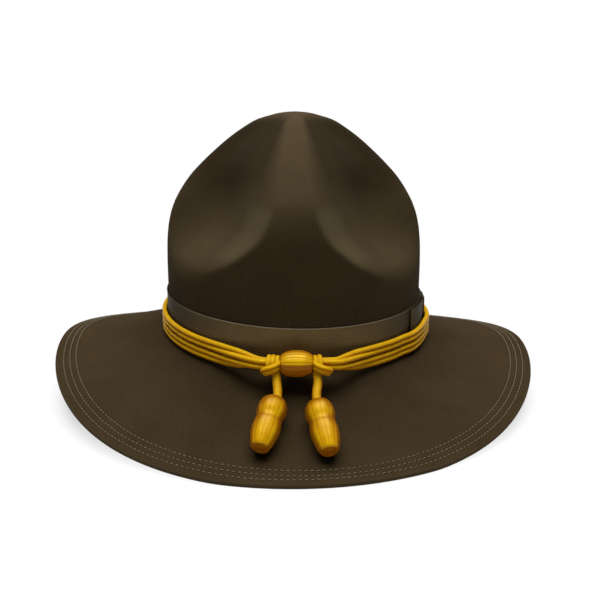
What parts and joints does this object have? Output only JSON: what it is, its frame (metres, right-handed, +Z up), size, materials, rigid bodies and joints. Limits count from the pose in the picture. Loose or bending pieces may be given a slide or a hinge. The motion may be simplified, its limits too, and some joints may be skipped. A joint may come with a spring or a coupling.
{
  "type": "campaign hat",
  "caption": "Felt campaign hat with a dented peaked crown, broad dipped brim, ribbon band with flat bow, and a gold hat cord with slide and acorns.",
  "frame": {"origin": "middle of the hat's footprint on the surface it rests on, z = 0 at that surface", "axes": "+X to the right of a viewer who faces the front, -Y towards the front with the slide and acorns, +Z up"},
  "size_m": [0.3236, 0.353, 0.1827],
  "materials": {
    "felt": "matte wool felt with a fine nap",
    "ribbon": "ribbed grosgrain with a slight sheen",
    "gold_cord": "laid rayon cord with a silky sheen",
    "gold_floss": "rayon floss wound lengthwise over a core, glossy"
  },
  "bodies": {
    "root": {"felt_body": "felt", "ribbon": "ribbon", "ribbon_bow": "ribbon", "ribbon_bow_keeper": "ribbon", "cord_strand_top": "gold_cord", "cord_strand_upper": "gold_cord", "cord_strand_lower": "gold_cord", "cord_strand_bottom": "gold_cord", "cord_slide": "gold_floss", "knot_left": "gold_cord", "knot_right": "gold_cord", "drop_left": "gold_cord", "drop_right": "gold_cord", "acorn_left": "gold_floss", "acorn_right": "gold_floss"}
  },
  "joints": []
}
